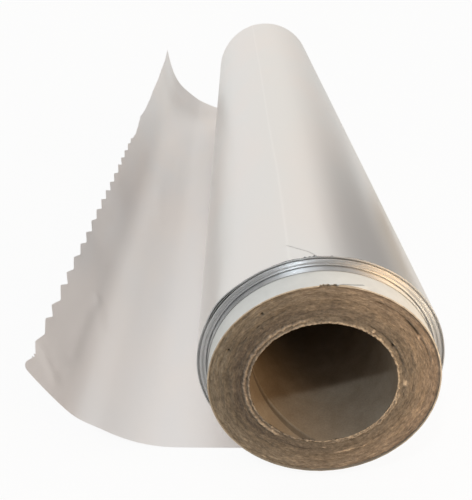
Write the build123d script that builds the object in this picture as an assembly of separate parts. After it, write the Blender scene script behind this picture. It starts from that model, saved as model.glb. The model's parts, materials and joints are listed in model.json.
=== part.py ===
"""Roll of aluminium foil on a spiral-wound cardboard tube, lying on its side with a torn free end.

Millimetres. Y is the roll's axis, X runs across it and Z is up. The origin is the middle of the bore.
The near end is the -Y end, and the free end of the foil leaves the bottom of the roll towards -X.
"""
from build123d import *
import os
from math import cos, sin, sqrt

# Cardboard tube
bore_radius = 15.8
board_thickness = 8.85
core_stick_out = 7.8
board_ply_count = 10
board_ply_step = 0.18
lip_height = 0.35

# Seam of the innermost ply, which winds along the bore
seam_pitch = 73.5
seam_width = 1.0
seam_depth = 0.4
seam_start_angle = 7.0

# White paper that covers the tube, with a small tear at its near edge
cover_thickness = 0.25
tear_width = 4.0
tear_depth = 0.6
tear_angle = -1.2

# Wound foil
foil_width = 300.0
winding_gap = 0.1
foil_build_up = 2.5
turn_wander = 2.1
rest_half_width = 3.0

# Groups of turns from the tube outwards: their thicknesses as shares of the build-up, and how far each
# group has wandered along the axis, as shares of the most and away from the near end
turn_group_shares = (0.08, 0.08, 0.26, 0.22, 0.10, 0.14, 0.12)
turn_wander_shares = (-1.00, 0.15, -0.28, -0.33, -0.24, -0.08, -0.24)

# Free end: a strip that lies flat beside the roll and then curls up, less sharply at the far end
free_foil_thickness = 0.2
free_end_shift = 1.7
near_flat_length = 33.0
far_flat_length = 21.6
near_curl_radius = 35.5
far_curl_radius = 38.5
near_free_length = 78.0
far_free_length = 82.3

# Teeth that a serrated cutter left along the near half of the torn edge
tooth_pitch = 8.0
tooth_depth = 1.9
tooth_valley_share = 0.53
toothed_length = 150.0

# Smooth tear of the rest of the edge: how far it lies below the line of the teeth's tips at most, and its
# points as shares of the tear's length and of that depth
smooth_tear_depth = 3.6
smooth_tear_shares = ((0.05333, 1.0), (0.20667, 0.6389), (0.28, 0.8889), (0.4, 0.9722), (0.5, 0.7778),
                      (0.73333, 0.6667))
far_corner_drop = 0.6

cut_overrun = 2.0

# Sizes worked out from the ones above
board_radius = bore_radius + board_thickness
core_radius = board_radius + cover_thickness
inner_turn_radius = core_radius + winding_gap
foil_radius = inner_turn_radius + foil_build_up
core_length = foil_width + 2 * core_stick_out
rest_level = -sqrt(foil_radius ** 2 - rest_half_width ** 2)
free_near_y = -foil_width / 2 + free_end_shift
free_far_y = foil_width / 2 + free_end_shift
near_curl_angle = (near_free_length - near_flat_length) / near_curl_radius
far_curl_angle = (far_free_length - far_flat_length) / far_curl_radius


def turned(profile):
    """Body of revolution about the roll's axis from an outline of radius and place along the axis."""
    return revolve(make_face(Polyline(*profile, close=True)), axis=Axis.Y)


def stepped_tube(rings):
    """Tube of nested rings, each given by its inner and outer radius and its near and far end."""
    near_side = [(radius, near) for inner, outer, near, far in rings for radius in (inner, outer)]
    far_side = [(radius, far) for inner, outer, near, far in reversed(rings) for radius in (outer, inner)]
    return turned(near_side + far_side)


def wound_turns():
    """The turns as one body, whose ends are stepped where groups of turns have wandered sideways."""
    rings = []
    radius = inner_turn_radius
    for thickness_share, wander_share in zip(turn_group_shares, turn_wander_shares):
        outer = radius + foil_build_up * thickness_share
        shift = turn_wander * wander_share
        rings.append((radius, outer, shift - foil_width / 2, shift + foil_width / 2))
        radius = outer
    return stepped_tube(rings)


def rest_cut():
    """Block under the level that the roll rests on, where its own weight flattens the outer turns."""
    size = 2 * foil_radius
    block = Box(size, foil_width + 2 * (turn_wander + cut_overrun), size)
    return Pos(0, 0, rest_level - size / 2) * block


def flat_strip():
    """The stretch of the free end that lies on the surface beside the roll."""
    outline = Polyline(
        (0, free_near_y),
        (0, free_far_y),
        (-far_flat_length, free_far_y),
        (-near_flat_length, free_near_y),
        close=True,
    )
    return Pos(0, 0, rest_level) * extrude(make_face(outline), free_foil_thickness)


def curl_point(flat_length, curl_radius, radius, angle):
    """Place across the roll of a point on a curl, at an angle in radians from its lowest line."""
    return (-flat_length - radius * sin(angle), rest_level + curl_radius - radius * cos(angle))


def curl_section(y, flat_length, curl_radius, curl_angle):
    """Section of the curled stretch at one end of the roll."""
    outer = [curl_point(flat_length, curl_radius, curl_radius, curl_angle * share) for share in (0, 0.5, 1)]
    inner_radius = curl_radius - free_foil_thickness
    inner = [curl_point(flat_length, curl_radius, inner_radius, curl_angle * share) for share in (0, 0.5, 1)]
    outline = [
        ThreePointArc(*outer),
        Line(outer[-1], inner[-1]),
        ThreePointArc(*reversed(inner)),
        Line(inner[0], outer[0]),
    ]
    return Plane(origin=(0, y, 0), x_dir=(1, 0, 0), z_dir=(0, -1, 0)) * make_face(outline)


def curled_strip():
    """The stretch of the free end that springs up from the surface."""
    near = curl_section(free_near_y, near_flat_length, near_curl_radius, near_curl_angle)
    far = curl_section(free_far_y, far_flat_length, far_curl_radius, far_curl_angle)
    return loft([near, far], ruled=True)


def tooth_cut():
    """Block above the torn edge, whose underside follows the teeth and then the smooth tear."""
    near_x, near_z = curl_point(near_flat_length, near_curl_radius, near_curl_radius, near_curl_angle)
    far_x, far_z = curl_point(far_flat_length, far_curl_radius, far_curl_radius, far_curl_angle)
    tooth_count = round(toothed_length / tooth_pitch)
    pitch = toothed_length / tooth_count

    def edge_point(along, drop):
        share = along / foil_width
        return (free_near_y + along, near_z + (far_z - near_z) * share - drop)

    outline = []
    for tooth in range(tooth_count):
        outline.append(edge_point(tooth * pitch, 0))
        outline.append(edge_point((tooth + tooth_valley_share) * pitch, tooth_depth))
    outline.append(edge_point(toothed_length, 0))
    smooth_length = foil_width - toothed_length
    for place_share, drop_share in smooth_tear_shares:
        along = toothed_length + smooth_length * place_share
        outline.append(edge_point(along, smooth_tear_depth * drop_share))
    outline.append(edge_point(foil_width, far_corner_drop))
    top = max(near_z, far_z) + cut_overrun
    low_near = (free_near_y - cut_overrun, outline[0][1])
    low_far = (free_far_y + cut_overrun, outline[-1][1])
    high_far = (free_far_y + cut_overrun, top)
    high_near = (free_near_y - cut_overrun, top)
    face = make_face(Polyline(low_near, *outline, low_far, high_far, high_near, close=True))
    outside = min(near_x, far_x) - cut_overrun
    inside = (max(near_x, far_x) - foil_radius) / 2
    return extrude(Plane(origin=(outside, 0, 0), x_dir=(0, 1, 0), z_dir=(1, 0, 0)) * face, inside - outside)


def foil_roll():
    """The whole length of foil: its turns, and the free end that leaves them at the bottom."""
    free_end = flat_strip() + (curled_strip() - tooth_cut())
    return (wound_turns() - rest_cut()) + free_end


def seam_groove():
    """Groove that the butted edges of the innermost ply leave along the bore."""
    run = core_length + 2 * cut_overrun
    path = Helix(seam_pitch, run, bore_radius)
    section = Plane(origin=path @ 0, x_dir=(1, 0, 0), z_dir=path % 0) * Rectangle(2 * seam_depth, seam_width)
    groove = sweep(section, path, is_frenet=True)
    start_turn = 90 + seam_start_angle - 360 * cut_overrun / seam_pitch
    return Rot(-90, 0, 0) * Pos(0, 0, -run / 2) * Rot(0, 0, start_turn) * groove


def core_board():
    """The brown tube: plies of board, the innermost standing out as a lip, with its seam in the bore."""
    ply_thickness = board_thickness / board_ply_count
    rings = []
    for ply in range(board_ply_count):
        inner = bore_radius + ply * ply_thickness
        inset = lip_height + board_ply_step * (ply % 2) if ply else 0
        end = core_length / 2 - inset
        rings.append((inner, inner + ply_thickness, -end, end))
    return stepped_tube(rings) - seam_groove()


def core_cover():
    """The white paper round the tube, less the small tear at the top of its near edge."""
    half_length = core_length / 2
    paper = stepped_tube([(board_radius, core_radius, -half_length, half_length)])
    block = Box(tear_width, 2 * tear_depth, 2 * cover_thickness)
    tear = Rot(0, tear_angle, 0) * Pos(0, -half_length, core_radius) * block
    return paper - tear


os.makedirs("parts", exist_ok=True)
nodes = {
    "foil_roll": foil_roll(),
    "core_board": core_board(),
    "core_cover": core_cover(),
}
for name, solid in nodes.items():
    export_step(solid, f"parts/{name}.step")
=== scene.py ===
"""Looks of a roll of aluminium foil on a cardboard tube: meshes, materials, light and camera.

Sizes are in millimetres unless they say otherwise. Angles round the roll are in degrees from its top
towards +X, so the left side is -90. The near end is the -Y one. A tone is how light a place looks, as a
factor of its material's colour. Ripples are (height, waves per unit), and a seed if they have their own.
"""
import json
import math
from typing import NamedTuple

import bpy
import numpy as np
from mathutils import Matrix, Vector, noise

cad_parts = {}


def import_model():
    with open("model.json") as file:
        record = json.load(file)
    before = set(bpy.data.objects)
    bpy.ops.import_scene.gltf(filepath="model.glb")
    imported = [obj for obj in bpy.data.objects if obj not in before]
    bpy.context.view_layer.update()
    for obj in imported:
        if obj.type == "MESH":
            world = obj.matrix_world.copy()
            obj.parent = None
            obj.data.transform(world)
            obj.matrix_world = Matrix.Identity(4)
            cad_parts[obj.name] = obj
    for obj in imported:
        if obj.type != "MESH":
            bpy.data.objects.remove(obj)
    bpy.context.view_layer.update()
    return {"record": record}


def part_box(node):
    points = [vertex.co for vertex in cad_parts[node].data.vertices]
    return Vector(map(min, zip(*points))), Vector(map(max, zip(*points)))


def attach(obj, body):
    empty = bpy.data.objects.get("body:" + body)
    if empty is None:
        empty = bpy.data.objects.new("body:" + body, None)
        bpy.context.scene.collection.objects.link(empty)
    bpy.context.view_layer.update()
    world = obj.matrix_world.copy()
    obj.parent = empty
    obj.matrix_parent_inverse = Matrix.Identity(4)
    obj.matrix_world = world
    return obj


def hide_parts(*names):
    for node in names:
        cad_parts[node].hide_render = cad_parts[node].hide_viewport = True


MM = 0.001


class Lamp(NamedTuple):
    """A lamp: its direction, colour, power and size."""
    direction: tuple
    colour: tuple
    power: float
    size: float


class Crack(NamedTuple):
    """A crack in a sheet round the axis: its line of (along, angle) places, the sheet's radius, how many
    degrees beside the line it can be felt, its slit, the lift of its near side, and the slit's tone, which
    is painted shade in the slit."""
    places: tuple
    radius: float
    reach: float
    depth: float
    width: float
    lift: float
    lift_width: float
    tone: float


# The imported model, and the sizes that it gives
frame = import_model()
BORE = next(mount for mount in frame["record"]["mounts"] if mount["name"] == "core_bore")
BORE_RADIUS = BORE["dims"]["r_mm"]
REST_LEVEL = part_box("foil_roll")[0].z / MM
COVER_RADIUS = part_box("core_cover")[1].z / MM
BOARD_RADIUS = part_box("core_board")[1].z / MM
CORE_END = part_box("core_cover")[1].y / MM

# Camera
CAMERA_PLACE = (-19.1, -269.9, 91.7)
CAMERA_YAW = 1.85
CAMERA_PITCH = -26.86
CAMERA_ROLL = -0.84
CAMERA_LENS = 47.4
CAMERA_SHIFT = (0.042, -0.020)
CAMERA_CLIP = 10

# Suns, each by the direction that it shines in, with its size in degrees
SUNS = {
    "key_sun": Lamp((0.515, 1.0, -1.685), (0.88, 0.97, 1.03), power=0.92, size=4),
    "fill_sun": Lamp((-0.95, 0.28, -0.24), (1.0, 0.85, 0.66), power=0.5, size=30),
}

# Small lamps, each by the direction that it stands in from the tube's near end, with its radius
END_LAMPS = {
    "warm_lamp": Lamp((0.66, -0.655, 0.37), (1.0, 0.63, 0.29), power=0.41, size=42),
    "low_lamp": Lamp((0.86, -0.50, -0.09), (1.0, 0.80, 0.54), power=0.15, size=22),
}
END_LAMP_DISTANCE = 170

# Room round the object: its walls' colours by azimuth in degrees, which slant upwards, and its top
ROOM_LEVELS = (
    (-180, (0.26, 0.23, 0.19)),
    (-120, (0.30, 0.305, 0.30)),
    (-75, (0.60, 0.595, 0.575)),
    (-40, (0.79, 0.77, 0.75)),
    (-15, (0.79, 0.76, 0.73)),
    (12, (0.81, 0.76, 0.70)),
    (21, (0.75, 0.69, 0.63)),
    (27, (0.17, 0.15, 0.13)),
    (39, (0.12, 0.11, 0.10)),
    (54, (0.50, 0.48, 0.45)),
    (85, (1.12, 1.00, 0.82)),
    (115, (1.14, 0.94, 0.68)),
    (140, (0.84, 0.65, 0.44)),
    (180, (0.26, 0.23, 0.19)),
)
ROOM_SLANT = 26
ROOM_TOP = (0.82, 0.795, 0.768)
ROOM_TOP_START = 0.42
ROOM_TOP_FULL = 0.62

# How much plain white the camera, and reflections in metal, see in place of the room and the floor
WHITE = (1, 1, 1)
ROOM_WHITE_SHARE = 1.0
FLOOR_WHITE_SHARE = 0.92
GLOSSY_WHITE_SHARE = 0.2

# Floor, and the low card beyond the roll
FLOOR_COLOUR = (0.68, 0.68, 0.67)
FLOOR_SIZE = 6000
FLOOR_GAP = 0.05
CARD_PLACES = ((97, 60), (200, 0))
CARD_HEIGHT = 40
CARD_COLOUR = (0.52, 0.485, 0.435)
STAGE_ROUGHNESS = 0.9

# Wound foil
FOIL_WIDTH = 300
FOIL_RADIUS = 27.5
INNER_TURN_RADIUS = 25.0

# Groups of turns from the tube outwards: their share of the build-up, how far they have wandered along the
# axis as a share of the most, the tone of their slit edges, and their share of the lift where turns are loose
TURN_GROUPS = (
    (0.04, -1.00, 0.75, 0),
    (0.12, 0.15, 1.25, 0),
    (0.26, -0.28, 1.05, 0),
    (0.22, -0.33, 0.95, 0),
    (0.10, -0.24, 1.15, 0),
    (0.14, -0.08, 1.1, 0.5),
    (0.12, -0.24, 1.15, 1.0),
)
TURN_WANDER = 2.1
OUTER_TURN_NEAR = -FOIL_WIDTH / 2 + TURN_WANDER * TURN_GROUPS[-1][1]

# Slit edges of the turns: the steps between them, and the gaps that open where groups have come loose, whose
# walls are darkened with painted shade
TURN_STEP = 0.12
TURN_JITTER = (0.05, 7.9, 7.3)
TURN_SHADES = (0.55, 6.1, 3.1)
TURN_BEVEL = 0.05
BEVELLED_STEP = 3 * TURN_BEVEL
TURN_GAP = 0.03
TURN_GAP_DEPTH = 2.5
TURN_GAP_SHADE = 0.25
TURN_STRAY = 0.10
TURN_STRAY_AROUND = 1.6
TURN_STRAY_ACROSS = 1.2

# Loose outer turns at the upper left of the near end
LOOSE_LIFT = 0.42
LOOSE_ANGLE = -54
LOOSE_HALF_WIDTH = 17
LOOSE_LENGTH = 26

# Fold line along the top of the roll, by its (along, angle) places, with a painted highlight along the line
CREASE_PLACES = ((-160, -16.4), (-137, -15.8), (-102, -15.0), (-52, -15.8), (31, -15.6), (60, -16.0),
                 (160, -16.6))
CREASE_HEIGHT = 0.14
CREASE_HALF_WIDTH = 3.4
CREASE_HIGHLIGHT_WIDTH = 0.5
CREASE_HIGHLIGHT = 1.05

# Crack, ragged edge and torn bits, as (angle, length), of the outermost turn
FOIL_CRACK = Crack(
    places=((-144.0, -16.4), (-146.1, -12.2), (-147.9, -8.0), (-148.5, -7.0), (-150.2, -4.6)),
    radius=FOIL_RADIUS,
    reach=8,
    depth=0.15,
    width=0.17,
    lift=0.12,
    lift_width=2.0,
    # Painted shade in the slit
    tone=0.6,
)
CRACK_SHARPNESS = 1.5
EDGE_RAGGED = (0.10, 1.3, 5.5)
TORN_BITS = ((-9.5, 0.45), (-7.6, 0.30), (-5.4, 0.40), (2.0, 0.2))
TORN_BIT_WIDTH = 0.7

# Waves of the outermost turn, as (height, degrees round it, length along it)
WAVES = ((0.05, 18, 90), (0.025, 7, 60))
WAVE_SEED = 50
WAVE_START = 6

# Spacing of the points on the outermost turn and the paper: closer at the near edge and by the cracks
FINE_ROWS_LENGTH = 7
FINE_ROW = 0.2
ROW = 4
FINE_COLUMN = 0.35
COLUMN = 1.2
FOIL_FINE_ANGLES = (-20.4, 3.4)

# Free end of the foil: the rise in degrees of its near and far edges, by the share of their length
SHEET_THICKNESS = 0.08
SHEET_SHIFT = 1.7
NEAR_FREE_LENGTH = 78.0
FAR_FREE_LENGTH = 82.3
NEAR_RISE = ((0, 0), (0.418, 0), (0.485, 8), (0.545, 17), (0.61, 26), (0.66, 32), (0.71, 29), (0.74, 33),
             (0.772, 45), (0.81, 53), (0.873, 56), (0.937, 58), (1, 62))
FAR_RISE = ((0, 0), (0.22, 0), (0.30, 10), (0.36, 18), (0.44, 24), (0.497, 26.5), (0.533, 35), (0.572, 38.5),
            (0.612, 41), (0.654, 42), (0.696, 48), (0.748, 60), (0.82, 71), (0.924, 78), (1, 81))
RISE_SAMPLES = 400
SHEET_ROWS = 64
CORNER_COLUMN = 0.15
COLUMN_DIGITS = 3

# Torn edge: its teeth and what is left of them, how far it falls short, and spikes as (place, width, height),
# all by the place along it from the near corner
FIRST_TIP = 1.8
TOOTH_WIDTHS = (7.5, 9.3, 6.0, 9.3, 6.5, 8.1, 8.4, 7.9, 8.1, 8.3, 7.8, 7.3, 6.8, 7.5, 8.7, 7.1, 8.0, 8.1, 7.1)
TOOTH_PITCH = 7.9
TOOTH_DEPTH = 1.9
TOOTH_VARIATION = (0.25, 1.7, 0.4)
TOOTH_VALLEY_SHARE = 0.53
TOOTH_ROUNDNESS = 1.1
TOOTH_COLUMNS = 12
TOOTH_SHARES = ((0, 1), (136, 1), (147, 0.55), (158, 0.12), (300, 0.05))
EDGE_DROPS = ((0, 0), (50, 0), (62, 0.5), (80, 0.8), (120, 0.9), (140, 1.2), (150, 1.8), (159, 3.5),
              (170, 3.2), (181, 2.3), (190, 3.1), (210, 3.4), (222, 2.8), (240, 2.7), (260, 2.4), (280, 1.9),
              (300, 0.5))
CORNER_ROUND = 1.3
SPIKES = ((4.7, 0.35, 0.5), (5.8, 0.45, 0.8))

# Swells of the free end, as (height, length along the axis, waves up the sheet), and its folds, as (height,
# half width, line of places along the axis and up the sheet)
SHEET_SWELLS = ((0.80, 70, 1.7), (0.45, 30, 2.8), (0.14, 12, 5.5))
SHEET_SWELL_SHIFT = 3.7
SHEET_SWELL_SEED = 9
SHEET_SWELL_START = 0.35
SHEET_SWELL_EDGE = 14
SHEET_FOLDS = (
    (0.10, 3.2, ((45, 0.825), (33, 0.85), (18, 0.85))),
    (0.09, 3.0, ((45, 0.825), (41, 0.795), (35, 0.755))),
    (0.08, 3.2, ((142, 0.67), (128, 0.66), (115, 0.63))),
    (0.11, 3.0, ((9, 0.96), (7, 0.92), (5, 0.88))),
)

# Tube: plies and fibres of its cut ends; a fibre is (height, width, waves round the end)
CORE_COLUMN = 0.75
PLY_COUNT = 10
PLY_STEP = 0.07
PLY_WANDER = 0.35
PLY_WANDER_AROUND = 2.2
PLY_WANDER_PLIES = 3
FIBRES = ((0.13, 0.35, 26.0), (0.12, 1.1, 5.0), (0.13, 0.22, 70.0))
END_ROWS = 46
END_SEED = 4.0
# Painted shade of the cut ends, darker the deeper a place is set in, and the least tone of the end
END_RECESS_SHADE = 0.9
END_LEAST_TONE = 0.2
# Painted shade on the board's outer wall, which shows only in the paper's tear
OUTER_WALL_SHADE = 0.25

# Pale ridges of the innermost plies, as (distance from the bore, half width, start and end angle, tone)
LIP_HEIGHT = 0.35
LIP_RIDGES = ((0.16, 0.32, -180, 180, 2.6), (1.15, 0.42, -152, -8, 2.8), (0.75, 0.35, 95, 175, 1.9))
LIP_FADE = 8
LIP_SHARPNESS = 1.6
LIP_WANDER = (0.24, 1 / 3.5)
LIP_FRAYS = (0.24, 1 / 1.2)
LIP_FRAY_SEED = 4
LIP_STRENGTH = 0.75
LIP_LEAST_STRENGTH = 0.15
LIP_BREAKS = (0.6, 1 / 2.2)
LIP_BREAK_SEED = 7

# Marks of the near cut end: cracks, as (radius, start and end angle, depth, half width), pits, as (radius,
# angle, size, depth), and light flecks, as (radius, angle, half width, half length). The cracks and pits
# are darkened with painted shade
END_CRACKS = ((22.75, 17, 80, 0.75, 0.32), (17.15, 25, 75, 0.45, 0.24), (17.7, -150, -80, 0.25, 0.20),
              (19.6, 95, 150, 0.25, 0.2), (21.2, -30, 25, 0.22, 0.2), (23.3, 100, 170, 0.35, 0.18),
              (18.6, 150, 215, 0.3, 0.2), (20.4, -70, -20, 0.2, 0.2), (18.2, 40, 88, 0.3, 0.18))
END_CRACK_SHADE = 0.45
END_CRACK_FADE = 4
END_CRACK_STRENGTH = 0.55
END_CRACK_WANDER = (0.22, 1 / 9)
END_CRACK_BREAKS = (0.45, 1 / 5)
END_CRACK_BREAK_SEED = 9
END_PITS = ((22.3, -37, 0.45, 0.8), (22.0, -66.5, 0.5, 0.8), (17.0, 54, 0.6, 0.7), (19.5, -43, 0.35, 0.4))
PIT_SHADE = 0.25
END_FLECKS = ((16.7, 34.6, 0.5, 0.5), (17.4, 88.7, 0.6, 1.1), (22.6, 57, 0.6, 0.5), (19.8, 162, 0.32, 2.8),
              (20.1, 149.5, 0.2, 1.2), (18.0, 176, 0.3, 0.7), (24.2, -150, 0.2, 0.8))
FLECK_HEIGHT = 0.12
FLECK_TONE = 2.9
FLECK_SHARPNESS = 1.4

# Bore, and the seam of the innermost ply that winds along it, whose groove gets painted shade; its widths
# and columns are in degrees
BORE_ROW = 1.25
SEAM_PITCH = 73.5
SEAM_START = 187.0
SEAM_HALF_WIDTH = 5.6
SEAM_EDGE = 0.8
SEAM_DEPTH = 0.4
SEAM_RAGGED = (0.06, 1.7)
SEAM_SHADE = 0.58
SEAM_SIDE = (2.0, 4.0, 5.2, 6.0, 6.8, 8, 11, 16, 22, 28, 35, 42, *range(50, 180, 10))
SEAM_COLUMNS = (-180, *(-place for place in reversed(SEAM_SIDE)), 0, *SEAM_SIDE)

# Paper round the tube, with the tear between two angles at its near edge, and the tones of its cut rim,
# which paint light on its upper right and shade on its left, below and along the tear
COVER_CRACK = Crack(
    places=((-157.9, 3.2), (-157.45, 5.8), (-157.3, 8.0), (-157.0, 11.6), (-156.4, 15.2)),
    radius=COVER_RADIUS,
    reach=4,
    depth=0.14,
    width=0.42,
    lift=0.28,
    lift_width=1.6,
    # Painted shade in the slit under the lifted edge
    tone=0.22,
)
COVER_TEAR = (-5.8, 3.6)
COVER_TEAR_DEPTH = 0.65
COVER_TEAR_SHARPNESS = 4
COVER_TEAR_LEVEL = 0.6
COVER_TEAR_STEPS = (0.7, 1.1, 8.8)
COVER_TEAR_FRAYS = (0.3, 3.1, 4.4)
COVER_EDGE_WANDER = (0.06, 1 / 4, 2.2)
RIM_PAINTED_LIGHT = ((-180, 0.55), (-120, 0.8), (-60, 0.9), (-15, 1.1), (60, 1.6), (110, 1.0), (150, 0.6),
             (180, 0.55))
RIM_STAINS = (0.3, 1 / 3.1, 6.6)
TORN_RIM_SHADE = 0.5
COVER_INSIDE_TONE = 0.5
COVER_FINE_LENGTH = 9
COVER_FINE_ROW = 0.22
COVER_ROW = 6
COVER_FINE_ANGLES = (-8.8, 18.2)

# Angle in degrees at which an edge of a mesh looks sharp
SHARP_ANGLE = 35
TURN_SHARP_ANGLE = 180
BOARD_SHARP_ANGLE = 50

# Materials. A texture is (scale, detail, roughness), and a stretch draws it out. A relief is (strength,
# height). Colours and tones go with the value of a texture. First the dull side of the foil
WOUND_ROUGHNESS = 0.28
WOUND_TINTS = ((0.872, 0.872, 0.864), (0.892, 0.869, 0.852))
FREE_END_ROUGHNESS = 0.36
FREE_END_TINTS = ((0.880, 0.867, 0.866), (0.906, 0.874, 0.856))
TINT_PATCHES = (45.0, 2.0, 0.5)
TINT_STRETCH = (1.0, 0.4, 1.0)
TINT_VALUES = (0.40, 0.60)
STREAKS = (260.0, 3.0, 0.5)
STREAK_STRETCH = (1.0, 0.16, 1.0)
STREAK_RELIEF = (0.10, 0.30)
FOIL_GRAIN = (1400.0, 3.0, 0.5)
FOIL_GRAIN_RELIEF = (0.08, 0.05)

# Slit edges of the foil
SLIT_LINES = (1.0, 3.0, 0.7)
SLIT_STRETCH = (9000.0, 2.0)
SLIT_COLOURS = ((0.3, (0.54, 0.55, 0.56)), (0.7, (0.85, 0.86, 0.875)))
SLIT_RELIEF = (0.5, 0.05)
SLIT_ROUGHNESS = 0.50
SLIT_ANISOTROPY = 0.95
SLIT_ROTATION = 0.25

# Cut end of the board, whose colours change from the bore outwards, and from a darker left to a lighter
# right, partly the board's own colour and partly painted light from the right
FIBRE_TEXTURE = (1.0, 4.0, 0.72)
FIBRE_STRETCH = (3200.0, 17.0)
FIBRE_TONES = ((0.28, (0.57, 0.54, 0.52)), (0.50, (0.98, 0.98, 0.98)), (0.74, (1.50, 1.50, 1.46)))
FIBRE_RELIEF = (0.9, 0.22)
LAYER_TEXTURE = (1.0, 3.0, 0.65)
LAYER_STRETCH = (1100.0, 7.0)
LAYER_TONES = ((0.33, (0.76, 0.75, 0.74)), (0.52, (1.0, 1.0, 1.0)), (0.68, (1.26, 1.26, 1.25)))
BOARD_CLOUDS = (180.0, 3.0, 0.5)
BOARD_CLOUD_DEPTH = 0.5
BOARD_SHADED_LEFT = ((0.05, (0.107, 0.086, 0.066)), (0.30, (0.079, 0.061, 0.047)), (0.55, (0.112, 0.091, 0.066)),
              (0.90, (0.178, 0.150, 0.113)))
BOARD_LIT_RIGHT = ((0.05, (0.205, 0.165, 0.122)), (0.30, (0.200, 0.157, 0.114)), (0.55, (0.250, 0.187, 0.131)),
               (0.90, (0.262, 0.196, 0.143)))
BOARD_ROUGHNESS = 0.95

# Paper inside the bore, with a painted tint of light: browner on the left, where warm light falls, and
# greyer on the right, where cool light falls
BORE_CLOUDS = (160.0, 4.0, 0.6)
BORE_WARM_LIT_LEFT = ((0.3, (0.180, 0.124, 0.072)), (0.7, (0.240, 0.180, 0.118)))
BORE_COOL_LIT_RIGHT = ((0.3, (0.190, 0.152, 0.112)), (0.7, (0.252, 0.216, 0.170)))
BORE_SPECKS = (2600.0, 3.0, 0.7)
BORE_SPECK_TONES = ((0.3, (0.86, 0.85, 0.84)), (0.7, (1.12, 1.12, 1.12)))
BORE_RELIEF = (0.35, 0.05)
BORE_ROUGHNESS = 0.75

# White paper and its cut rim
COVER_MOTTLE = (300.0, 3.0, 0.5)
COVER_COLOURS = ((0.3, (0.605, 0.606, 0.586)), (0.7, (0.655, 0.656, 0.636)))
COVER_GRAIN = (1200.0, 3.0, 0.5)
COVER_GRAIN_RELIEF = (0.3, 0.08)
COVER_ROUGHNESS = 0.8
RIM_MOTTLE = (900.0, 3.0, 0.5)
RIM_COLOURS = ((0.3, (0.34, 0.29, 0.23)), (0.7, (0.44, 0.39, 0.32)))
RIM_ROUGHNESS = 0.9

# Sockets of the node that mixes two colours
MIX_SHARE = 0
MIX_COLOURS = (6, 7)
MIX_RESULT = 2


def smooth_noise(x, y, z=0.0):
    """Repeatable noise from -1 to 1."""
    return noise.noise(Vector((x, y, z)))


def ripple(place, height, rate, seed, second_seed=0.0):
    """Repeatable waves along a line, so many to a unit of it."""
    return height * smooth_noise(rate * place, seed, second_seed)


def lerp(start, end, share):
    return start + (end - start) * share


def eased(share):
    """Smooth step from 0 to 1."""
    share = min(1, max(0, share))
    return share * share * (3 - 2 * share)


def tent(distance, half_width):
    """1 at no distance, falling evenly to 0 at the half width."""
    return max(0, 1 - abs(distance) / half_width)


def table_value(table, place):
    """Value of a table of (place, value) pairs between its entries."""
    return float(np.interp(place, [entry[0] for entry in table], [entry[1] for entry in table]))


def spaced(start, end, step):
    """Even places from start to just before end, about a step apart."""
    count = max(1, round((end - start) / step))
    return [lerp(start, end, place / count) for place in range(count)]


def fine_columns(start, end):
    """Angles all round the roll, closer together between two of them."""
    return spaced(-180, start, COLUMN) + spaced(start, end, FINE_COLUMN) + spaced(end, 180, COLUMN)


def fine_rows(near, far, fine_length, fine_row, row):
    """Places along the axis between two ends, closer together at the near one."""
    fine_end = near + fine_length
    return spaced(near, fine_end, fine_row) + spaced(fine_end, far, row) + [far]


def arc(angle, radius):
    """Length along a circle, from the top, of an angle in degrees."""
    return math.radians(angle) * radius


def line_offset(here, line):
    """Distance of a flat place from a line of places, and the first coordinate of the nearest one on it."""
    here = np.array(here)
    best = (math.inf, 0.0)
    for first, last in zip(line, line[1:]):
        start = np.array(first)
        run = np.array(last) - start
        share = min(1, max(0, float(np.dot(here - start, run) / np.dot(run, run))))
        nearest = start + run * share
        distance = float(np.hypot(*(here - nearest)))
        if distance < best[0]:
            best = (distance, float(nearest[0]))
    return best


def cracked(crack, radius, tone, along, angle):
    """Radius and tone at a place of a sheet with a crack, whose near side is lifted; the tone paints
    shade in the slit.
    """
    if not crack.places[0][1] - crack.reach < angle < crack.places[-1][1] + crack.reach:
        return radius, tone
    line = [(place, arc(turn, crack.radius)) for place, turn in crack.places]
    distance, crack_along = line_offset((along, arc(angle, crack.radius)), line)
    slit = tent(distance, crack.width)
    radius -= crack.depth * slit
    if along < crack_along:
        radius += crack.lift * tent(distance, crack.lift_width)
    return radius, tone * lerp(1, crack.tone, min(1, CRACK_SHARPNESS * slit))


def new_object(name, data):
    """An object in the scene that holds the data."""
    piece = bpy.data.objects.new(name, data)
    bpy.context.scene.collection.objects.link(piece)
    return piece


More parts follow.
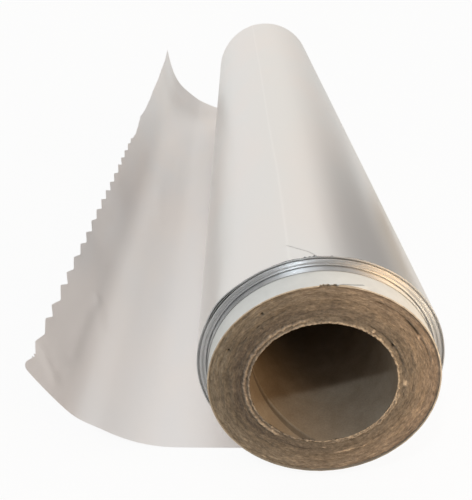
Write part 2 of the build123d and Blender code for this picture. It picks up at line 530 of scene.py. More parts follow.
class Mesh:
    """Collects grids of points into one mesh, with a material index per face and a tone per point."""

    def __init__(self):
        self.points = []
        self.tones = []
        self.faces = []
        self.materials = []
        self.count = 0

    def add_grid(self, grid, tones=1.0, material=0, wrap=False, flip=False):
        """Adds a grid of points, rows by columns; wrap joins the last column to the first."""
        rows, columns = grid.shape[:2]
        index = self.count + np.arange(rows * columns).reshape(rows, columns)
        if wrap:
            index = np.hstack([index, index[:, :1]])
        corners = [index[:-1, :-1], index[:-1, 1:], index[1:, 1:], index[1:, :-1]]
        faces = np.stack(corners[::-1] if flip else corners, axis=-1).reshape(-1, 4)
        self.points.append(grid.reshape(-1, 3))
        self.tones.append(np.broadcast_to(tones, (rows, columns)).reshape(-1))
        self.faces.append(faces)
        self.materials.append(np.full(len(faces), material))
        self.count += rows * columns

    def build(self, name, materials, node, sharp_angle=SHARP_ANGLE):
        """Makes the object in metres, riding on the root body and standing for a CAD node."""
        data = bpy.data.meshes.new(name)
        points = np.concatenate(self.points) * MM
        data.from_pydata(points.tolist(), [], np.concatenate(self.faces).tolist())
        for material in materials:
            data.materials.append(material)
        data.polygons.foreach_set("material_index", np.concatenate(self.materials).astype(np.int32))
        tone = data.attributes.new("tone", "FLOAT", "POINT")
        tone.data.foreach_set("value", np.concatenate(self.tones).astype(np.float32))
        data.shade_smooth()
        data.set_sharp_from_angle(angle=math.radians(sharp_angle))
        data.update()
        piece = new_object(name, data)
        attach(piece, "root")
        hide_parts(node)
        return piece


def turned(rows, angles, place):
    """Grids of points and tones; place(row, angle) gives a radius, a place along the axis and a tone."""
    grid = np.zeros((len(rows), len(angles), 3))
    tones = np.zeros((len(rows), len(angles)))
    for column, angle in enumerate(angles):
        sine, cosine = math.sin(math.radians(angle)), math.cos(math.radians(angle))
        for row, entry in enumerate(rows):
            radius, along, tone = place(entry, angle)
            grid[row, column] = (radius * sine, along, radius * cosine)
            tones[row, column] = tone
    return grid, tones


# Nodes

def new_material(name):
    material = bpy.data.materials.new(name)
    material.use_nodes = True
    tree = material.node_tree
    return material, tree, tree.nodes["Principled BSDF"]


def add_node(tree, kind, settings=None, **inputs):
    """Adds a node; an input is a value or an output socket, named by its socket or by i and its number."""
    item = tree.nodes.new(kind)
    for key, value in (settings or {}).items():
        setattr(item, key, value)
    for key, value in inputs.items():
        socket = item.inputs[int(key[1:]) if key[1:].isdigit() else key.replace("_", " ")]
        if isinstance(value, bpy.types.NodeSocket):
            tree.links.new(value, socket)
        else:
            socket.default_value = value
    return item


def maths(tree, operation, first, second=0.0):
    return add_node(tree, "ShaderNodeMath", {"operation": operation}, i0=first, i1=second).outputs[0]


def object_place(tree):
    return add_node(tree, "ShaderNodeTexCoord").outputs["Object"]


def split_place(tree, place):
    return add_node(tree, "ShaderNodeSeparateXYZ", None, Vector=place).outputs


def scaled(tree, vector, factors):
    return add_node(tree, "ShaderNodeVectorMath", {"operation": "MULTIPLY"}, i0=vector, i1=factors).outputs[0]


def toned(tree, colour):
    """The colour times the tone that the mesh holds for each point, which also carries painted shade and
    highlights.
    """
    tone = add_node(tree, "ShaderNodeAttribute", {"attribute_name": "tone"}).outputs["Fac"]
    item = add_node(tree, "ShaderNodeVectorMath", {"operation": "SCALE"}, i0=colour)
    tree.links.new(tone, item.inputs["Scale"])
    return item.outputs[0]


def noise_value(tree, vector, texture):
    scale, detail, roughness = texture
    item = add_node(tree, "ShaderNodeTexNoise", None, Vector=vector, Scale=scale, Detail=detail,
                    Roughness=roughness)
    return item.outputs["Fac"]


def ramp(tree, value, stops):
    """Colour ramp with stops of (place, colour)."""
    item = add_node(tree, "ShaderNodeValToRGB", None, Fac=value)
    elements = item.color_ramp.elements
    for element, (place, colour) in zip(elements, (stops[0], stops[-1])):
        element.position = place
        element.color = (*colour, 1)
    for place, colour in stops[1:-1]:
        elements.new(place).color = (*colour, 1)
    return item.outputs["Color"]


def mixed_colour(tree, share, first, second):
    item = add_node(tree, "ShaderNodeMix", {"data_type": "RGBA"})
    tree.links.new(share, item.inputs[MIX_SHARE])
    for number, value in zip(MIX_COLOURS, (first, second)):
        if isinstance(value, bpy.types.NodeSocket):
            tree.links.new(value, item.inputs[number])
        else:
            item.inputs[number].default_value = (*value, 1)
    return item.outputs[MIX_RESULT]


def bump(tree, height, relief, normal=None):
    """Normal of a relief of so much strength and height, on top of another normal if there is one."""
    strength, distance = relief
    item = add_node(tree, "ShaderNodeBump", None, Height=height, Strength=strength, Distance=distance * MM)
    if normal is not None:
        tree.links.new(normal, item.inputs["Normal"])
    return item.outputs["Normal"]


def axis_place(tree):
    """Distance from the roll's axis, and the places across and up."""
    split = split_place(tree, object_place(tree))
    across, up = split["X"], split["Z"]
    square = maths(tree, "ADD", maths(tree, "MULTIPLY", across, across), maths(tree, "MULTIPLY", up, up))
    return maths(tree, "SQRT", square), across, up


def ring_noise(tree, stretch, texture):
    """Noise whose features are drawn out round the roll's axis."""
    radius, across, up = axis_place(tree)
    radial, around = stretch
    item = add_node(tree, "ShaderNodeCombineXYZ", None, X=maths(tree, "MULTIPLY", radius, radial))
    for name, part in (("Y", across), ("Z", up)):
        share = maths(tree, "MULTIPLY", maths(tree, "DIVIDE", part, radius), around)
        tree.links.new(share, item.inputs[name])
    return noise_value(tree, item.outputs[0], texture)


def side_colour(tree, across, radius, left, right):
    """One colour at the left side of a tube, changing evenly to another at its right."""
    side = maths(tree, "ADD", maths(tree, "DIVIDE", across, 2 * radius * MM), 0.5)
    return mixed_colour(tree, side, left, right)


def give_surface(tree, shader, colour, roughness, normal=None):
    """Gives the shader its colour, times the mesh's tone, its roughness and its relief."""
    tree.links.new(toned(tree, colour), shader.inputs["Base Color"])
    shader.inputs["Roughness"].default_value = roughness
    if normal is not None:
        tree.links.new(normal, shader.inputs["Normal"])


def foil_material(name, roughness, tints):
    """Dull side of the foil: satin metal, faintly uneven in tint."""
    material, tree, shader = new_material(name)
    place = object_place(tree)
    patches = noise_value(tree, scaled(tree, place, TINT_STRETCH), TINT_PATCHES)
    colour = ramp(tree, patches, list(zip(TINT_VALUES, tints)))
    streaks = noise_value(tree, scaled(tree, place, STREAK_STRETCH), STREAKS)
    normal = bump(tree, streaks, STREAK_RELIEF)
    normal = bump(tree, noise_value(tree, place, FOIL_GRAIN), FOIL_GRAIN_RELIEF, normal)
    shader.inputs["Metallic"].default_value = 1.0
    give_surface(tree, shader, colour, roughness, normal)
    return material


def foil_edge_material():
    """Slit edges of the turns, seen end on: fine rings, so that lights show as fans across them."""
    material, tree, shader = new_material("foil_turn_edges")
    lines = ring_noise(tree, SLIT_STRETCH, SLIT_LINES)
    tangent = add_node(tree, "ShaderNodeTangent", {"direction_type": "RADIAL", "axis": "Y"})
    tree.links.new(tangent.outputs["Tangent"], shader.inputs["Tangent"])
    shader.inputs["Metallic"].default_value = 1.0
    shader.inputs["Anisotropic"].default_value = SLIT_ANISOTROPY
    shader.inputs["Anisotropic Rotation"].default_value = SLIT_ROTATION
    colour = ramp(tree, lines, SLIT_COLOURS)
    give_surface(tree, shader, colour, SLIT_ROUGHNESS, bump(tree, lines, SLIT_RELIEF))
    return material


def board_end_material():
    """Cut end of the board: fibres round the tube, greyer plies inside and tan ones outside, darker on the
    left and lighter on the right, partly by its own colour and partly by painted light.
    """
    material, tree, shader = new_material("board_cut_end")
    fibres = ring_noise(tree, FIBRE_STRETCH, FIBRE_TEXTURE)
    layers = ring_noise(tree, LAYER_STRETCH, LAYER_TEXTURE)
    clouds = noise_value(tree, object_place(tree), BOARD_CLOUDS)
    wander = maths(tree, "MULTIPLY", maths(tree, "SUBTRACT", clouds, 0.5), BOARD_CLOUD_DEPTH)
    radius, across, _ = axis_place(tree)
    from_bore = maths(tree, "SUBTRACT", radius, BORE_RADIUS * MM)
    depth = maths(tree, "DIVIDE", from_bore, (BOARD_RADIUS - BORE_RADIUS) * MM)
    depth = maths(tree, "ADD", depth, wander)
    left, right = (ramp(tree, depth, stops) for stops in (BOARD_SHADED_LEFT, BOARD_LIT_RIGHT))
    # Darker left and lighter right: partly the board's own colour, partly painted light
    colour = side_colour(tree, across, BOARD_RADIUS, left, right)
    colour = scaled(tree, colour, ramp(tree, fibres, FIBRE_TONES))
    colour = scaled(tree, colour, ramp(tree, layers, LAYER_TONES))
    give_surface(tree, shader, colour, BOARD_ROUGHNESS, bump(tree, fibres, FIBRE_RELIEF))
    return material


def bore_material():
    """Smooth kraft paper inside the tube, with a painted tint of light: browner on the left and greyer
    on the right.
    """
    material, tree, shader = new_material("bore_paper")
    place = object_place(tree)
    clouds = noise_value(tree, place, BORE_CLOUDS)
    left, right = (ramp(tree, clouds, stops) for stops in (BORE_WARM_LIT_LEFT, BORE_COOL_LIT_RIGHT))
    # Painted tint of light: warm on the left, cool on the right
    colour = side_colour(tree, split_place(tree, place)["X"], BORE_RADIUS, left, right)
    specks = noise_value(tree, place, BORE_SPECKS)
    colour = scaled(tree, colour, ramp(tree, specks, BORE_SPECK_TONES))
    give_surface(tree, shader, colour, BORE_ROUGHNESS, bump(tree, specks, BORE_RELIEF))
    return material


def cover_material():
    """White paper round the tube."""
    material, tree, shader = new_material("white_cover_paper")
    place = object_place(tree)
    colour = ramp(tree, noise_value(tree, place, COVER_MOTTLE), COVER_COLOURS)
    normal = bump(tree, noise_value(tree, place, COVER_GRAIN), COVER_GRAIN_RELIEF)
    give_surface(tree, shader, colour, COVER_ROUGHNESS, normal)
    return material


def cut_paper_material():
    """Cut rim of the paper, stained by the glue and the board."""
    material, tree, shader = new_material("cut_paper_rim")
    colour = ramp(tree, noise_value(tree, object_place(tree), RIM_MOTTLE), RIM_COLOURS)
    give_surface(tree, shader, colour, RIM_ROUGHNESS)
    return material


# Wound foil

def loosening(angle, depth):
    """How far the outermost turns have sprung off the roll, by the distance from their near edge."""
    window = tent(angle - LOOSE_ANGLE, LOOSE_HALF_WIDTH)
    return LOOSE_LIFT * eased(window) * eased(1 - depth / LOOSE_LENGTH)


def edge_stray(radius, angle):
    """How far a turn strays along the axis, a little differently on each side of the roll."""
    turn = math.radians(angle)
    side, height = TURN_STRAY_AROUND * math.sin(turn), TURN_STRAY_AROUND * math.cos(turn)
    return TURN_STRAY * smooth_noise(side, height, TURN_STRAY_ACROSS * radius)


def gap_rows(radius, shift, last_lift, lift):
    """Rows down one wall of the gap between two groups that lift by different shares, and up the other;
    their tone is painted shade in the gap.
    """
    deep = shift + TURN_GAP_DEPTH
    outer = radius + TURN_GAP
    walls = ((radius, shift, last_lift), (radius, deep, last_lift), (outer, deep, lift), (outer, shift, lift))
    return [(place, along, TURN_GAP_SHADE, share) for place, along, share in walls]


def turn_rows():
    """Rows across the turns from the tube outwards: radius, shift along the axis, tone and share of lift."""
    rows = []
    radius = INNER_TURN_RADIUS
    last_lift = 0
    for group_share, wander, tone, lift in TURN_GROUPS:
        thickness = (FOIL_RADIUS - INNER_TURN_RADIUS) * group_share
        shift = TURN_WANDER * wander
        if lift != last_lift:
            rows += gap_rows(radius, shift, last_lift, lift)
            last_lift = lift
        start = radius + TURN_GAP if lift else radius
        count = max(2, round(thickness / TURN_STEP))
        for step in range(count):
            place = radius + thickness * step / count
            step_shift = shift + ripple(place, *TURN_JITTER)
            shade = tone * (1 + ripple(place, *TURN_SHADES))
            for edge in (step, step + 1):
                rows.append((max(start, radius + thickness * edge / count), step_shift, shade, lift))
        radius += thickness
    return bevelled(rows)


def bevelled(rows):
    """The rows with two more on each high step, so that only its edges look rounded."""
    finished = rows[:1]
    for first, last in zip(rows, rows[1:]):
        rise = last[1] - first[1]
        if abs(rise) > BEVELLED_STEP and last[0] - first[0] < TURN_BEVEL:
            bevel = math.copysign(TURN_BEVEL, rise)
            finished.append((first[0], first[1] + bevel, *first[2:]))
            finished.append((last[0], last[1] - bevel, *last[2:]))
        finished.append(last)
    return finished


def near_turn(entry, angle):
    """A point of the turns' near end."""
    radius, shift, tone, lift = entry
    along = shift - FOIL_WIDTH / 2 + edge_stray(radius, angle)
    return radius + lift * loosening(angle, 0), along, tone


def far_turn(entry, angle):
    """A point of the turns' far end, where groups that sit back at the near end stand out."""
    radius, shift, tone, _ = entry
    depth = TURN_GAP_DEPTH * 2 if tone == TURN_GAP_SHADE and shift > TURN_GAP_DEPTH / 2 else 0
    return radius, shift - depth + FOIL_WIDTH / 2 + edge_stray(radius, angle + 180), tone


def outside_place(along, angle):
    """A point of the outermost turn, from its ragged near edge on."""
    depth = along - OUTER_TURN_NEAR
    radius = FOIL_RADIUS + loosening(angle, depth)
    for height, angle_step, along_step in WAVES:
        wave = smooth_noise(angle / angle_step, along / along_step, height * WAVE_SEED)
        radius += height * wave * eased(depth / WAVE_START)
    offset = arc(angle - table_value(CREASE_PLACES, along), FOIL_RADIUS)
    radius += CREASE_HEIGHT * tent(offset, CREASE_HALF_WIDTH)
    # Painted highlight along the fold line
    tone = lerp(1, CREASE_HIGHLIGHT, tent(offset, CREASE_HIGHLIGHT_WIDTH))
    if depth < FINE_ROWS_LENGTH:
        radius, tone = cracked(FOIL_CRACK, radius, tone, along, angle)
    if depth < FINE_ROW:
        along += edge_stray(FOIL_RADIUS, angle) + ripple(angle, *EDGE_RAGGED)
        along += sum(reach * tent(angle - place, TORN_BIT_WIDTH) for place, reach in TORN_BITS)
    return radius, along, tone


def inside_place(along, _):
    """A point of the innermost turn, the same at every angle."""
    return INNER_TURN_RADIUS, along, 1


def flattened(grid):
    """The grid with nothing below the level that the roll rests on."""
    grid[..., 2] = np.maximum(grid[..., 2], REST_LEVEL)
    return grid


def wound_foil(materials):
    """The turns: their stepped ends, the outermost turn between them, and the innermost one."""
    angles = fine_columns(*FOIL_FINE_ANGLES)
    rows = turn_rows()
    far = OUTER_TURN_NEAR + FOIL_WIDTH
    places = fine_rows(OUTER_TURN_NEAR, far, FINE_ROWS_LENGTH, FINE_ROW, ROW)
    inside = [near_turn(rows[0], 0)[1], far_turn(rows[0], 0)[1]]
    surfaces = (
        (rows, near_turn, 1, False),
        (rows, far_turn, 1, True),
        (places, outside_place, 0, False),
        (inside, inside_place, 0, True),
    )
    body = Mesh()
    for entries, place, material, flip in surfaces:
        grid, tones = turned(entries, angles, place)
        body.add_grid(flattened(grid), tones, material, True, flip)
    return body.build("wound_foil", materials, "foil_roll", TURN_SHARP_ANGLE)


# Free end

def rise_curve(table, length):
    """Points across the roll of an edge of the free end, as its rise in degrees changes along it."""
    points = [(0.0, REST_LEVEL)]
    step = length / RISE_SAMPLES
    for sample in range(RISE_SAMPLES):
        rise = math.radians(table_value(table, (sample + 0.5) / RISE_SAMPLES))
        x, z = points[-1]
        points.append((x - step * math.cos(rise), z + step * math.sin(rise)))
    return np.array(points)


def tooth_tips():
    """Places along the torn edge of the teeth's tips, from the near corner on."""
    tips = [FIRST_TIP]
    widths = list(TOOTH_WIDTHS)
    while tips[-1] < FOIL_WIDTH:
        tips.append(tips[-1] + (widths.pop(0) if widths else TOOTH_PITCH))
    return tips


def edge_drop(along, tips):
    """How far the torn edge falls short of the teeth's tips at a place along it."""
    drop = 0
    for number, (tip, following) in enumerate(zip(tips, tips[1:])):
        if tip <= along < following:
            share = (along - tip) / (following - tip)
            down = share / TOOTH_VALLEY_SHARE
            up = (1 - share) / (1 - TOOTH_VALLEY_SHARE)
            deepest = TOOTH_DEPTH * (1 + ripple(number, *TOOTH_VARIATION))
            drop = deepest * min(down, up) ** TOOTH_ROUNDNESS * table_value(TOOTH_SHARES, along)
    drop += table_value(EDGE_DROPS, along)
    drop -= sum(height * tent(along - place, width) for place, width, height in SPIKES)
    if along < CORNER_ROUND:
        drop += CORNER_ROUND - math.sqrt(CORNER_ROUND ** 2 - (CORNER_ROUND - along) ** 2)
    return drop


def sheet_columns(tips):
    """Places across the sheet's width, enough for each tooth to keep its shape."""
    places = spaced(0, tips[0], CORNER_COLUMN)
    for start, end in zip(tips, tips[1:]):
        places += [lerp(start, end, column / TOOTH_COLUMNS) for column in range(TOOTH_COLUMNS)]
    places += [place + width * side for place, width, _ in SPIKES for side in (-1, 0, 1)]
    return sorted(set(round(place, COLUMN_DIGITS) for place in places if place < FOIL_WIDTH)) + [FOIL_WIDTH]


def swell(along, share):
    """Soft waves of the free end, which grow towards its torn edge."""
    height = 0
    for size, length, count in SHEET_SWELLS:
        place = along / length + SHEET_SWELL_SHIFT
        height += size * smooth_noise(place, share * count, size * SHEET_SWELL_SEED)
    edges = eased(min(along, FOIL_WIDTH - along) / SHEET_SWELL_EDGE)
    return height * edges * eased((share - SHEET_SWELL_START) / (1 - SHEET_SWELL_START))


def fold(along, share):
    """Height of the small folds at a place of the free end."""
    height = 0
    for rise, half_width, places in SHEET_FOLDS:
        line = [(place, part * NEAR_FREE_LENGTH) for place, part in places]
        distance = line_offset((along, share * NEAR_FREE_LENGTH), line)[0]
        height += rise * eased(tent(distance, half_width))
    return height


def sheet_sides():
    """Grids of the sheet's underside and upper side, from the roll to the torn edge."""
    near = rise_curve(NEAR_RISE, NEAR_FREE_LENGTH)
    far = rise_curve(FAR_RISE, FAR_FREE_LENGTH)
    samples = np.arange(RISE_SAMPLES + 1) / RISE_SAMPLES
    tips = tooth_tips()
    columns = sheet_columns(tips)
    under = np.zeros((SHEET_ROWS + 1, len(columns), 3))
    over = np.zeros((SHEET_ROWS + 1, len(columns), 3))
    for column, along in enumerate(columns):
        width_share = along / FOIL_WIDTH
        curve = near + (far - near) * width_share
        slope = np.gradient(curve, axis=0)
        slope /= np.linalg.norm(slope, axis=1)[:, None]
        last = 1 - edge_drop(along, tips) / lerp(NEAR_FREE_LENGTH, FAR_FREE_LENGTH, width_share)
        for row in range(SHEET_ROWS + 1):
            share = last * row / SHEET_ROWS
            x, z = (np.interp(share, samples, curve[:, axis]) for axis in (0, 1))
            across, up = (np.interp(share, samples, slope[:, axis]) for axis in (0, 1))
            inward = Vector((up, 0, -across))
            lift = swell(along, share) + fold(along, share)
            base = Vector((x, SHEET_SHIFT - FOIL_WIDTH / 2 + along, z)) + inward * lift
            under[row, column] = base
            over[row, column] = base + inward * SHEET_THICKNESS
    return flattened(under), over


def free_end(materials):
    """The sheet that leaves the bottom of the roll, lies flat and curls up to its torn edge."""
    under, over = sheet_sides()
    body = Mesh()
    body.add_grid(under)
    body.add_grid(over, flip=True)
    body.add_grid(np.stack([under[-1], over[-1]]))
    body.add_grid(np.stack([under[:, 0], over[:, 0]]))
    body.add_grid(np.stack([under[:, -1], over[:, -1]]), flip=True)
    return body.build("free_end", materials, "foil_roll")


# Tube

def angle_apart(first, second):
    return (first - second + 180) % 360 - 180


def end_marks(radius, angle):
    """Depth and tone that the cracks, pits and light flecks of the near end add at a place; the cracks
    and pits paint shade.
    """
    depth, tone = 0.0, 1.0
    for place, start, end, deepest, width in END_CRACKS:
        middle, half = (start + end) / 2, (end - start) / 2
        apart = abs(angle_apart(angle, middle))
        if apart < half:
            wander = ripple(angle, *END_CRACK_WANDER, place)
            share = tent(radius - place - wander, width) * eased((1 - apart / half) * END_CRACK_FADE)
            share *= END_CRACK_STRENGTH + ripple(angle, *END_CRACK_BREAKS, place + END_CRACK_BREAK_SEED)
            depth += deepest * max(0, share)
            tone *= lerp(1, END_CRACK_SHADE, max(0, share))
    for place, spot, size, deepest in END_PITS:
        apart = math.hypot(radius - place, arc(angle_apart(angle, spot), place))
        share = eased(1 - apart / size)
        depth += deepest * share
        tone *= lerp(1, PIT_SHADE, share)
    for place, spot, height, length in END_FLECKS:
        apart = math.hypot((radius - place) / height, arc(angle_apart(angle, spot), place) / length)
        share = eased(FLECK_SHARPNESS * (1 - apart))
        depth -= FLECK_HEIGHT * share
        tone *= lerp(1, FLECK_TONE, share)
    return depth, tone


def lip_ridges(radius, angle, seed, inset, tone):
    """Inset and tone with the pale, frayed ridges of the innermost plies."""
    for place, width, start, end, lightness in LIP_RIDGES:
        middle, half = (start + end) / 2, (end - start) / 2
        fade = eased(LIP_FADE * (1 - abs(angle_apart(angle, middle)) / half)) if half < 180 else 1
        wander = ripple(angle, *LIP_WANDER, place, seed) + ripple(angle, *LIP_FRAYS, place + LIP_FRAY_SEED)
        strength = LIP_STRENGTH + ripple(angle, *LIP_BREAKS, place + LIP_BREAK_SEED, seed)
        ridge = eased(tent(radius - BORE_RADIUS - place - wander, width) * LIP_SHARPNESS)
        share = fade * ridge * min(1, max(LIP_LEAST_STRENGTH, strength))
        inset = lerp(inset, 0, share)
        tone = lerp(tone, lightness, share)
    return inset, tone


def cut_end(radius, angle, seed, marked):
    """Inset of the tube's cut end at a place, and its tone, with painted shade in its hollows."""
    turn = math.radians(angle)
    side, height = math.sin(turn), math.cos(turn)
    ply = (radius - BORE_RADIUS) / ((BOARD_RADIUS - BORE_RADIUS) / PLY_COUNT)
    wander = PLY_WANDER * smooth_noise(PLY_WANDER_AROUND * side, PLY_WANDER_AROUND * height,
                                       seed + ply / PLY_WANDER_PLIES)
    inset = LIP_HEIGHT + PLY_STEP * (math.floor(ply + wander) % 2)
    for fibre, width, around in FIBRES:
        inset += fibre * smooth_noise(radius / width, around * side, around * height + seed)
    # Painted shade: the deeper the place is set in, the darker
    tone = 1 - END_RECESS_SHADE * (inset - LIP_HEIGHT - PLY_STEP / 2)
    inset, tone = lip_ridges(radius, angle, seed, inset, tone)
    if marked:
        depth, shade = end_marks(radius, angle)
        inset += depth
        tone *= shade
    return max(0, inset), max(END_LEAST_TONE, tone)


def board_end(side, angles):
    """Grid of one cut end of the tube, from the bore outwards; the side is -1 for the near end."""
    radii = [lerp(BORE_RADIUS, BOARD_RADIUS, row / END_ROWS) for row in range(END_ROWS + 1)]

    def place(radius, angle):
        inset, tone = cut_end(radius, angle, END_SEED + side, side < 0)
        return radius, side * (CORE_END - inset), tone

    return turned(radii, angles, place)


def bore_place(along, offset):
    """Radius, angle and tone of the bore, by the offset in degrees from the seam that winds along it; the
    tone paints shade in the seam's groove.
    """
    angle = SEAM_START + 360 * (along + CORE_END) / SEAM_PITCH + offset
    groove = eased((SEAM_HALF_WIDTH + SEAM_EDGE - abs(offset)) / SEAM_EDGE)
    depth = SEAM_DEPTH + ripple(along, *SEAM_RAGGED, offset)
    return BORE_RADIUS + depth * groove, angle, lerp(1, SEAM_SHADE, groove)


def bore_wall():
    """Grid of the bore's wall, whose columns follow the seam and whose rims meet the cut ends."""
    places = spaced(-CORE_END, CORE_END, BORE_ROW) + [CORE_END]
    grid = np.zeros((len(places), len(SEAM_COLUMNS), 3))
    tones = np.zeros((len(places), len(SEAM_COLUMNS)))
    for row, along in enumerate(places):
        for column, offset in enumerate(SEAM_COLUMNS):
            radius, angle, tone = bore_place(along, offset)
            turn = math.radians(angle)
            inset = cut_end(BORE_RADIUS, angle, END_SEED + math.copysign(1, along), False)[0]
            reach = min(max(along, inset - CORE_END), CORE_END - inset)
            grid[row, column] = (radius * math.sin(turn), reach, radius * math.cos(turn))
            tones[row, column] = tone
    return grid, tones


def board_tube(materials):
    """The tube: its cut ends, the wall that the paper covers, and the bore."""
    angles = spaced(-180, 180, CORE_COLUMN)
    rims = []
    body = Mesh()
    for side in (-1, 1):
        grid, tones = board_end(side, angles)
        body.add_grid(grid, tones, wrap=True, flip=side > 0)
        rims.append(grid[-1])
    # The outer wall is darkened with painted shade
    body.add_grid(np.stack(rims), OUTER_WALL_SHADE, wrap=True)
    body.add_grid(*bore_wall(), material=1, wrap=True, flip=True)
    return body.build("board_tube", materials, "core_board", BOARD_SHARP_ANGLE)


# Paper round the tube

def torn_share(angle):
    """1 along the tear of the paper's near edge, easing to 0 at its ends."""
    start, end = COVER_TEAR
    return eased(COVER_TEAR_SHARPNESS * tent(angle - (start + end) / 2, (end - start) / 2))


def edge_tear(angle):
    """How far the paper's near edge is torn back."""
    ragged = COVER_TEAR_LEVEL + ripple(angle, *COVER_TEAR_STEPS) + ripple(angle, *COVER_TEAR_FRAYS)
    return COVER_TEAR_DEPTH * torn_share(angle) * max(0, ragged) + ripple(angle, *COVER_EDGE_WANDER)


def rim_light_and_stains(angle):
    """How light the paper's cut rim is: painted light at the top and right, painted shade on the left,
    below and along the tear, and random stains.
    """
    stains = 1 + ripple(angle, *RIM_STAINS)
    # Painted light and shade by angle, random stains, and painted shade along the tear
    return table_value(RIM_PAINTED_LIGHT, angle) * stains * lerp(1, TORN_RIM_SHADE, torn_share(angle))


def cover_place(along, angle):
    """A point of the paper's outside, with the tear and the crack at its near edge."""
    radius, tone = COVER_RADIUS, 1.0
    depth = along + CORE_END
    if depth < COVER_FINE_LENGTH:
        radius, tone = cracked(COVER_CRACK, radius, tone, along, angle)
    return radius, along + edge_tear(angle) * tent(depth, COVER_FINE_LENGTH), tone


def cover_paper(materials):
    """The paper: its outside, its cut rims at both ends, and the wall against the board."""
    angles = fine_columns(*COVER_FINE_ANGLES)
    places = fine_rows(-CORE_END, CORE_END, COVER_FINE_LENGTH, COVER_FINE_ROW, COVER_ROW)
    body = Mesh()
    grid, tones = turned(places, angles, cover_place)
    body.add_grid(grid, tones, wrap=True)
    rim = [rim_light_and_stains(angle) for angle in angles]
    inside = []
    for row, flip in ((0, False), (-1, True)):
        inner = grid[row].copy()
        inner[:, (0, 2)] *= BOARD_RADIUS / np.hypot(inner[:, 0], inner[:, 2])[:, None]
        inside.append(inner)
        body.add_grid(np.stack([inner, grid[row]]), rim, material=1, wrap=True, flip=flip)
    body.add_grid(np.stack(inside), COVER_INSIDE_TONE, material=1, wrap=True, flip=True)
    return body.build("cover_paper", materials, "core_cover", BOARD_SHARP_ANGLE)


# Stage

def white_share(tree, camera_share):
    """Share of plain white that the camera, and reflections in metal, see."""
    light_path = add_node(tree, "ShaderNodeLightPath")
    camera_part = maths(tree, "MULTIPLY", light_path.outputs["Is Camera Ray"], camera_share)
    glossy_part = maths(tree, "MULTIPLY", light_path.outputs["Is Glossy Ray"], GLOSSY_WHITE_SHARE)
    return maths(tree, "ADD", camera_part, glossy_part)


def stage_material(name, colour):
    material, tree, shader = new_material(name)
    shader.inputs["Base Color"].default_value = (*colour, 1)
    shader.inputs["Roughness"].default_value = STAGE_ROUGHNESS
    return material, tree, shader


def floor():
    """Wide floor just under the roll."""
    material, tree, shader = stage_material("floor_white", FLOOR_COLOUR)
    bpy.ops.mesh.primitive_plane_add(size=FLOOR_SIZE * MM, location=(0, 0, (REST_LEVEL - FLOOR_GAP) * MM))
    plane = bpy.context.object
    plane.name = "floor"
    plane.data.materials.append(material)
    white = add_node(tree, "ShaderNodeEmission", None, Color=(*WHITE, 1), Strength=1.0)
    share = white_share(tree, FLOOR_WHITE_SHARE)
    mixed = add_node(tree, "ShaderNodeMixShader", None, i0=share, i1=shader.outputs[0], i2=white.outputs[0])
    tree.links.new(mixed.outputs[0], tree.nodes["Material Output"].inputs["Surface"])


def dark_card():
    """Low dark backdrop beyond the roll on the right, seen only as a reflection in the foil."""
    levels = (REST_LEVEL, REST_LEVEL + CARD_HEIGHT)
    corners = [(x * MM, y * MM, level * MM) for level in levels for x, y in CARD_PLACES]
    data = bpy.data.meshes.new("dark_card")
    data.from_pydata(corners, [], [(0, 1, 3, 2)])
    data.materials.append(stage_material("card_dark", CARD_COLOUR)[0])
    piece = new_object("dark_card", data)
    piece.visible_camera = False
    piece.visible_diffuse = False
    piece.visible_shadow = False


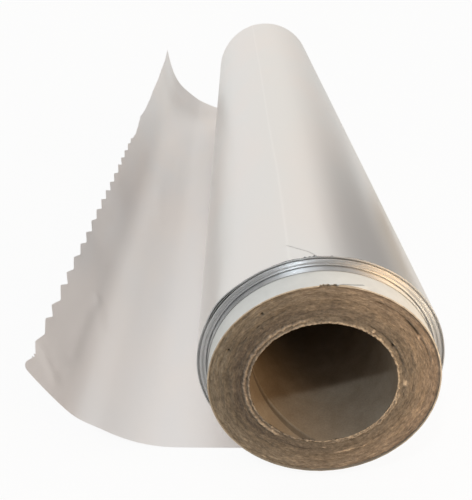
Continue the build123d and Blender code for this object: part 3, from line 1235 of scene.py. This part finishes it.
def world():
    """White to the camera; round the object a pale room with a dimmer stretch beyond it on the right."""
    place = bpy.data.worlds.new("studio")
    bpy.context.scene.world = place
    place.use_nodes = True
    tree = place.node_tree
    split = split_place(tree, add_node(tree, "ShaderNodeTexCoord").outputs["Generated"])
    azimuth = maths(tree, "ARCTAN2", split["X"], split["Y"])
    share = maths(tree, "ADD", maths(tree, "DIVIDE", azimuth, 2 * math.pi), 0.5)
    slanted = maths(tree, "ADD", share, maths(tree, "MULTIPLY", split["Z"], ROOM_SLANT / 360))
    walls = ramp(tree, slanted, [(angle / 360 + 0.5, colour) for angle, colour in ROOM_LEVELS])
    height = add_node(tree, "ShaderNodeMapRange", None, Value=split["Z"], From_Min=ROOM_TOP_START,
                      From_Max=ROOM_TOP_FULL).outputs["Result"]
    room = mixed_colour(tree, height, walls, ROOM_TOP)
    colour = mixed_colour(tree, white_share(tree, ROOM_WHITE_SHARE), room, WHITE)
    tree.links.new(colour, tree.nodes["Background"].inputs["Color"])


def new_lamp(name, kind, lamp):
    """Data and object of a lamp."""
    data = bpy.data.lights.new(name, kind)
    data.color = lamp.colour
    data.energy = lamp.power
    return data, new_object(name, data)


def sun(name, lamp):
    data, piece = new_lamp(name, "SUN", lamp)
    data.angle = math.radians(lamp.size)
    piece.rotation_euler = Vector(lamp.direction).to_track_quat("-Z", "Y").to_euler()


def end_lamp(name, lamp):
    """A small lamp to the right of the tube's near end."""
    data, piece = new_lamp(name, "POINT", lamp)
    data.shadow_soft_size = lamp.size * MM
    piece.location = (Vector((0, -CORE_END, 0)) + Vector(lamp.direction) * END_LAMP_DISTANCE) * MM
    piece.visible_camera = False


def camera():
    lens = bpy.data.cameras.new("camera")
    lens.lens = CAMERA_LENS
    lens.shift_x, lens.shift_y = CAMERA_SHIFT
    lens.clip_start = CAMERA_CLIP * MM
    piece = new_object("camera", lens)
    turn = (Matrix.Rotation(math.radians(CAMERA_YAW), 4, "Z")
            @ Matrix.Rotation(math.radians(90 + CAMERA_PITCH), 4, "X")
            @ Matrix.Rotation(math.radians(CAMERA_ROLL), 4, "Z"))
    piece.matrix_world = Matrix.Translation(Vector(CAMERA_PLACE) * MM) @ turn
    bpy.context.scene.camera = piece


def main():
    camera()
    wound_foil([foil_material("foil_dull_side", WOUND_ROUGHNESS, WOUND_TINTS), foil_edge_material()])
    free_end([foil_material("foil_free_end", FREE_END_ROUGHNESS, FREE_END_TINTS)])
    board_tube([board_end_material(), bore_material()])
    cover_paper([cover_material(), cut_paper_material()])
    floor()
    dark_card()
    world()
    for name, lamp in SUNS.items():
        sun(name, lamp)
    for name, lamp in END_LAMPS.items():
        end_lamp(name, lamp)
    bpy.context.scene.view_settings.view_transform = "Standard"


main()
